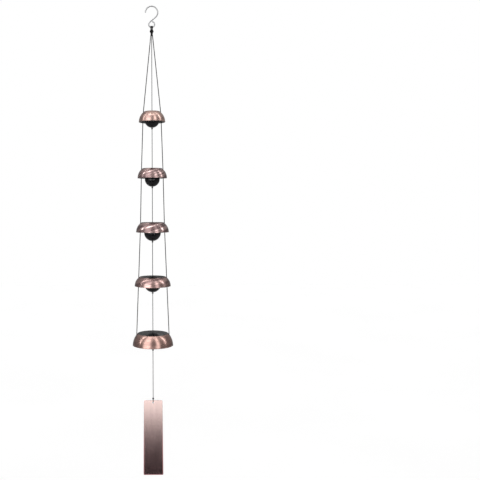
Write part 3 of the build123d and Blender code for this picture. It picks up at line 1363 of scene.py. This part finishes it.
@dataclass
class WindSail:
    """The flat sail with its hole, its loop of cord and the knot above it."""

    corner: float = 2.0 * MM
    hole: float = 3.0 * MM
    edge_round: float = 0.16 * MM
    top_width: float = 32.0 * MM
    loop_cord: float = 1.1 * MM
    loop_radius: float = 1.4 * MM
    knot_width: float = 3.7 * MM
    knot_cord: float = 1.4 * MM

    def build(self) -> bpy.types.Object:
        """Make the sail, its loop and its knot.

        Returns:
            The sail's object.
        """
        low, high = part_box("wind_sail")
        size = high - low
        bm = bmesh.new()
        bmesh.ops.create_cube(bm, size=1.0)
        bmesh.ops.scale(bm, vec=size, verts=bm.verts)
        upper = [vert for vert in bm.verts if vert.co.z > 0]
        bmesh.ops.scale(bm, vec=(self.top_width / size.x, 1.0, 1.0), verts=upper)
        corners = [edge for edge in bm.edges
                   if abs((edge.verts[0].co - edge.verts[1].co).normalized().y) > 0.9]
        bmesh.ops.bevel(bm, geom=corners, offset=self.corner, offset_type="OFFSET", affect="EDGES",
                        segments=8, profile=0.5, material=-1)
        bmesh.ops.translate(bm, vec=(low + high) / 2, verts=bm.verts)
        sail = publish("wind_sail_plate", bm)
        hole = joint_point("sail_tilt")
        drill(sail, hole - Y_AXIS * 0.003, hole + Y_AXIS * 0.003, self.hole, 48)
        self.soften(sail)
        fit_out(sail, "sail", ("wind_sail",), Slot.SAIL, SailCopper(high.z, low.z))
        self.hang(hole)
        return sail

    def soften(self, sail: bpy.types.Object) -> None:
        """Round the sail's sharp edges a little, and shade its two faces flat.

        Args:
            sail: The drilled plate.
        """
        bm = bmesh.new()
        bm.from_mesh(sail.data)
        rims = [edge for edge in bm.edges if len(edge.link_faces) == 2 and edge.calc_face_angle() > 1.0]
        bmesh.ops.bevel(bm, geom=rims, offset=self.edge_round, offset_type="OFFSET", affect="EDGES",
                        segments=3, profile=0.5, material=-1)
        bmesh.ops.recalc_face_normals(bm, faces=bm.faces)
        bm.to_mesh(sail.data)
        bm.free()
        sail.data.shade_smooth()
        sail.data.set_sharp_from_angle(angle=math.radians(40.0))
        for face in sail.data.polygons:
            face.use_smooth = abs(face.normal.y) < 0.9999

    def hang(self, hole: Vector) -> None:
        """Make the loop through the hole and the knot above the sail.

        Args:
            hole: The centre of the sail's hole.
        """
        knot_centre = joint_point("sail_twist")
        reach = self.loop_radius
        turn_z = hole.z + reach
        foot = [Vector((0.0, y, z)) for y, z in arc((0.0, turn_z), reach, 180.0, 360.0, 8)]
        head = [Vector((0.0, reach * 0.6, knot_centre.z)), Vector((0.0, -reach * 0.6, knot_centre.z))]
        rise = (knot_centre.z - turn_z) * 0.5
        sides = [Vector((0.0, reach, turn_z + rise)), *head, Vector((0.0, -reach, turn_z + rise))]
        loop = publish("sail_loop_strand", tube_along(foot + sides, self.loop_cord, closed=True))
        fit_out(loop, "sail_swivel", ("sail_loop",), Slot.CORD, BlackCord())
        facing = Vector((0.3, -1.0, 0.25)).normalized()
        knot = PulledKnot(knot_centre, self.knot_width, self.knot_cord, facing, 1.3).build()
        tied = publish("sail_knot_pulled", knot)
        fit_out(tied, "sail_swivel", ("sail_knot",), Slot.CORD, BlackCord())


# --------------------------------------------------------------------------- the chime


@dataclass
class WindChime:
    """The whole chime, from the hook down."""

    openings: tuple[float, ...] = (13.1 * MM, 16.2 * MM, 18.4 * MM, 22.0 * MM, 26.0 * MM)
    finishes: tuple[TurnedCopper, ...] = (
        TurnedCopper("turned_copper_1", (0.98, 0.66, 0.56), (0.42, 0.27, 0.245), 0.15, 0.32, 0.70),
        TurnedCopper("turned_copper_2"),
        TurnedCopper("turned_copper_3"),
        TurnedCopper("turned_copper_4", (0.76, 0.50, 0.46), (0.26, 0.160, 0.155), 0.55, 0.38, 0.62),
        TurnedCopper("turned_copper_5", (0.68, 0.425, 0.36), (0.27, 0.163, 0.147), 0.15, 0.32, 0.70),
    )

    def build(self) -> None:
        """Make every piece, cords first."""
        Cords().build()
        WireHook().build()
        Hanger().build()
        for number, (opening, finish) in enumerate(zip(self.openings, self.finishes), 1):
            RingBell(number, opening, finish).build()
            BellKnots(number).build()
            Ball(number).build()
        WindSail().build()


def main() -> None:
    """Make the camera, the chime and the studio, in that order."""
    logging.basicConfig(level=logging.INFO, format="%(name)s: %(message)s")
    Viewpoint().build()
    WindChime().build()
    Studio().build()


if __name__ == "__main__":
    main()
